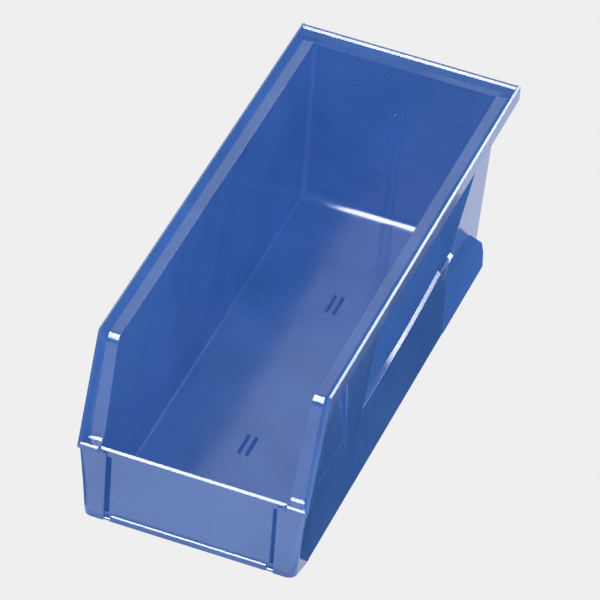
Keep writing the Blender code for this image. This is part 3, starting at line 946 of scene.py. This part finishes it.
def glow(name, strength, seen_strength=None):
    """A plain light-giving surface, with its own strength for the camera where one is given."""
    material = bpy.data.materials.new(name)
    material.use_nodes = True
    nodes = material.node_tree.nodes
    links = material.node_tree.links
    nodes.remove(nodes["Principled BSDF"])
    seen = nodes.new("ShaderNodeEmission")
    seen.inputs["Strength"].default_value = strength
    out = nodes["Material Output"]
    links.new(seen.outputs["Emission"], out.inputs["Surface"])
    if seen_strength is not None:
        direct = nodes.new("ShaderNodeEmission")
        direct.inputs["Strength"].default_value = seen_strength
        faint = nodes.new("ShaderNodeEmission")
        faint.inputs["Strength"].default_value = AMBIENT
        path = nodes.new("ShaderNodeLightPath")
        shader = seen.outputs["Emission"]
        for ray, other in (("Is Diffuse Ray", faint), ("Is Camera Ray", direct)):
            mix = nodes.new("ShaderNodeMixShader")
            links.new(path.outputs[ray], mix.inputs["Fac"])
            links.new(shader, mix.inputs[1])
            links.new(other.outputs["Emission"], mix.inputs[2])
            shader = mix.outputs["Shader"]
        links.new(shader, out.inputs["Surface"])
    return material


def stage_sheet(name, outline, height, material):
    """A flat sheet of the studio over an (x, y) outline."""
    bm = bmesh.new()
    bm.faces.new([bm.verts.new((x, y, 0)) for x, y in outline])
    facing_up(bm)
    mesh = bpy.data.meshes.new(name)
    bm.to_mesh(mesh)
    bm.free()
    mesh.materials.append(material)
    sheet = bpy.data.objects.new(name, mesh)
    bpy.context.scene.collection.objects.link(sheet)
    sheet.location.z = height
    return sheet


def floor_card(name, outline, material):
    """A card on the floor, out of sight except in the plastic's reflections."""
    outline = [(x * MM, y * MM) for x, y in outline]
    sheet = stage_sheet(name, outline, CARD_HEIGHT, material)
    sheet.visible_camera = False
    sheet.visible_diffuse = False
    sheet.visible_shadow = False
    sheet.visible_transmission = False


def build_stage():
    half = STUDIO_HALF
    square = [(-half, -half), (half, -half), (half, half), (-half, half)]
    stage_sheet("studio_floor", square, FLOOR_HEIGHT, glow("pale_floor", FLOOR_GLOW, PALE))
    black = glow("black_card", 0.0)
    # The black card right of the bin is a painted floor shadow, seen only in the plastic's reflections.
    floor_card("right_painted_shadow_card", RIGHT_SHADOW_CARD, black)
    floor_card("left_card", LEFT_CARD, black)
    floor_card("front_card", FRONT_CARD, glow("white_card", WHITE_GLOW))


def build_world():
    world = bpy.data.worlds.new("studio")
    bpy.context.scene.world = world
    world.use_nodes = True
    nodes = world.node_tree.nodes
    links = world.node_tree.links
    path = nodes.new("ShaderNodeLightPath")
    back = nodes["Background"]
    back.inputs["Color"].default_value = (1, 1, 1, 1)
    back.inputs["Strength"].default_value = AMBIENT
    shader = back.outputs["Background"]
    for ray, strength in (("Is Glossy Ray", DIM), ("Is Camera Ray", PALE)):
        other = nodes.new("ShaderNodeBackground")
        other.inputs["Color"].default_value = (1, 1, 1, 1)
        other.inputs["Strength"].default_value = strength
        mix = nodes.new("ShaderNodeMixShader")
        links.new(path.outputs[ray], mix.inputs["Fac"])
        links.new(shader, mix.inputs[1])
        links.new(other.outputs["Background"], mix.inputs[2])
        shader = mix.outputs["Shader"]
    links.new(shader, nodes["World Output"].inputs["Surface"])


def softbox(name, direction, along, sizes, radiance):
    """A softbox facing the bin, its first size along a direction, seen only in reflections."""
    data = bpy.data.lights.new(name, "AREA")
    data.shape = "RECTANGLE"
    data.size, data.size_y = sizes
    data.energy = radiance * math.pi * sizes[0] * sizes[1]
    lamp = bpy.data.objects.new(name, data)
    bpy.context.scene.collection.objects.link(lamp)
    way = Vector(direction).normalized()
    across = way.cross(Vector(along)).normalized()
    turn = Matrix((across.cross(way), across, way)).transposed().to_4x4()
    lamp.matrix_world = Matrix.Translation(Vector(SOFTBOX_AIM) + way * SOFTBOX_DISTANCE) @ turn
    lamp.visible_diffuse = False
    lamp.visible_camera = False


def fill(name, direction, strength):
    """Even light from one side, without shadows and without a reflection."""
    data = bpy.data.lights.new(name, "SUN")
    data.energy = strength * math.pi
    data.angle = FILL_ANGLE
    data.use_shadow = False
    data.cycles.cast_shadow = False
    lamp = bpy.data.objects.new(name, data)
    bpy.context.scene.collection.objects.link(lamp)
    lamp.rotation_mode = "QUATERNION"
    lamp.rotation_quaternion = Vector(direction).to_track_quat("Z", "Y")
    lamp.visible_glossy = False


def build_lights():
    for name, direction in FILLS:
        fill(name + "_fill", direction, FILL)
    for values in SOFTBOXES:
        softbox(*values)


def build_camera():
    data = bpy.data.cameras.new("studio_camera")
    data.sensor_width = SENSOR
    data.lens = LENS
    camera = bpy.data.objects.new("studio_camera", data)
    bpy.context.scene.collection.objects.link(camera)
    aim = (CAD_BOX[0] + CAD_BOX[1]) / 2 + AIM_SHIFT
    level = math.cos(ELEVATION)
    back = Vector((math.sin(AZIMUTH) * level, -math.cos(AZIMUTH) * level, math.sin(ELEVATION)))
    camera.location = aim + back * CAMERA_DISTANCE
    camera.rotation_mode = "QUATERNION"
    camera.rotation_quaternion = (-back).to_track_quat("-Z", "Y") @ Quaternion((0, 0, 1), ROLL)
    bpy.context.scene.camera = camera


build_camera()
build_stage()
build_world()
build_tub()
build_rims()
build_hanger()
build_front()
build_sides()
build_ribs()
build_lights()
bpy.context.scene.view_settings.view_transform = "Standard"

bpy.context.view_layer.update()
